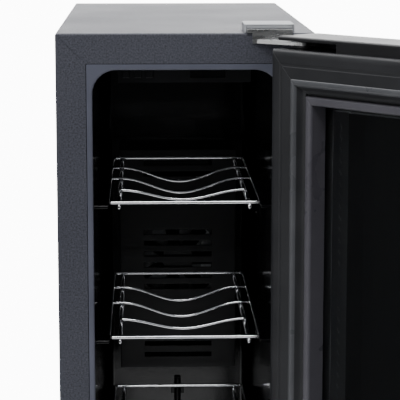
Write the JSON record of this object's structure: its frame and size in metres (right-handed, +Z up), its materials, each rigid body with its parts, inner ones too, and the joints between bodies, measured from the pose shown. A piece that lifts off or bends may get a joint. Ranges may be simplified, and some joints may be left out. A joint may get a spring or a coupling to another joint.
{
  "type": "wine cooler",
  "caption": "Slim upright wine cooler with a dark steel cabinet, glossy black liner, chromed wire bottle shelves and a glazed side-hinged door standing open.",
  "frame": {"origin": "on the underside of the base pan, midway between the cabinet's sides and midway between its front and back", "axes": "+Z up, -Y towards the front and the door, +X towards the hinge side, which is on the right seen from the front"},
  "size_m": [0.3025, 0.6203, 0.6762],
  "materials": {
    "steel_paint": "satin",
    "zinc_steel": "satin",
    "black_plastic": "satin",
    "liner_plastic": "gloss",
    "foam": "matte",
    "chrome": "polished",
    "gasket_rubber": "satin",
    "magnet": "matte",
    "glass": "polished",
    "spacer": "satin",
    "aluminium": "satin",
    "ceramic": "matte",
    "circuit": "satin",
    "hinge_cover": "satin",
    "lens": "gloss",
    "nylon": "satin"
  },
  "bodies": {
    "cabinet": {"cabinet_wrapper": "steel_paint", "base_pan": "steel_paint", "rear_panel": "zinc_steel", "inner_liner": "liner_plastic", "foam_insulation": "foam", "foot_rear_left": "black_plastic", "foot_rear_right": "black_plastic", "hinge_top_bracket": "zinc_steel", "hinge_top_cover": "hinge_cover", "hinge_top_screw_1": "zinc_steel", "hinge_top_screw_2": "zinc_steel", "hinge_bottom_bracket": "zinc_steel", "hinge_bottom_screw_1": "zinc_steel", "hinge_bottom_screw_2": "zinc_steel", "cold_sink": "aluminium", "cold_block": "aluminium", "peltier_module": "ceramic", "hot_sink": "aluminium", "inner_fan_frame": "black_plastic", "outer_fan_frame": "black_plastic", "fan_cover": "black_plastic", "temperature_probe": "black_plastic", "rear_housing": "black_plastic", "housing_screw_1": "zinc_steel", "housing_screw_2": "zinc_steel", "housing_screw_3": "zinc_steel", "housing_screw_4": "zinc_steel", "power_inlet": "black_plastic", "power_board": "circuit", "control_housing": "black_plastic", "control_board": "circuit", "display_window": "glass", "lamp_lens": "lens"},
    "door": {"door_frame": "black_plastic", "glass_outer": "glass", "glass_inner": "glass", "glazing_spacer": "spacer", "door_inner_bead": "black_plastic", "door_gasket": "gasket_rubber", "gasket_magnet": "magnet", "door_bush_top": "nylon", "door_bush_bottom": "nylon"},
    "shelf_1": {"shelf_1": "chrome"},
    "shelf_2": {"shelf_2": "chrome"},
    "shelf_3": {"shelf_3": "chrome"},
    "shelf_4": {"shelf_4": "chrome"},
    "shelf_5": {"shelf_5": "chrome"},
    "foot_front_left": {"foot_front_left": "black_plastic"},
    "foot_front_right": {"foot_front_right": "black_plastic"},
    "button_light": {"button_light": "black_plastic"},
    "button_up": {"button_up": "black_plastic"},
    "button_down": {"button_down": "black_plastic"},
    "inner_fan_rotor": {"inner_fan_rotor": "black_plastic"},
    "outer_fan_rotor": {"outer_fan_rotor": "black_plastic"}
  },
  "joints": [
    {"name": "door_hinge", "type": "hinge", "parent": "cabinet", "child": "door", "pos_m": [0.081, -0.213, 0.328], "axis": [0, 0, 1], "range_deg": [-130, 0]},
    {"name": "shelf_1_slide", "type": "slide", "parent": "cabinet", "child": "shelf_1", "axis": [0, -1, 0], "range_m": [0, 0.17]},
    {"name": "shelf_2_slide", "type": "slide", "parent": "cabinet", "child": "shelf_2", "axis": [0, -1, 0], "range_m": [0, 0.17]},
    {"name": "shelf_3_slide", "type": "slide", "parent": "cabinet", "child": "shelf_3", "axis": [0, -1, 0], "range_m": [0, 0.17]},
    {"name": "shelf_4_slide", "type": "slide", "parent": "cabinet", "child": "shelf_4", "axis": [0, -1, 0], "range_m": [0, 0.17]},
    {"name": "shelf_5_slide", "type": "slide", "parent": "cabinet", "child": "shelf_5", "axis": [0, -1, 0], "range_m": [0, 0.17]},
    {"name": "foot_front_left_adjust", "type": "slide", "parent": "cabinet", "child": "foot_front_left", "axis": [0, 0, 1], "range_m": [-0.008, 0]},
    {"name": "foot_front_right_adjust", "type": "slide", "parent": "cabinet", "child": "foot_front_right", "axis": [0, 0, 1], "range_m": [-0.008, 0]},
    {"name": "button_light_press", "type": "slide", "parent": "cabinet", "child": "button_light", "axis": [0, 1, 0], "range_m": [0, 0.001], "stiffness_N_per_m": 500},
    {"name": "button_up_press", "type": "slide", "parent": "cabinet", "child": "button_up", "axis": [0, 1, 0], "range_m": [0, 0.001], "stiffness_N_per_m": 500},
    {"name": "button_down_press", "type": "slide", "parent": "cabinet", "child": "button_down", "axis": [0, 1, 0], "range_m": [0, 0.001], "stiffness_N_per_m": 500},
    {"name": "inner_fan_spin", "type": "hinge", "parent": "cabinet", "child": "inner_fan_rotor", "pos_m": [0, 0.128, 0.43], "axis": [0, 1, 0], "continuous": true},
    {"name": "outer_fan_spin", "type": "hinge", "parent": "cabinet", "child": "outer_fan_rotor", "pos_m": [0, 0.229, 0.43], "axis": [0, 1, 0], "continuous": true}
  ]
}
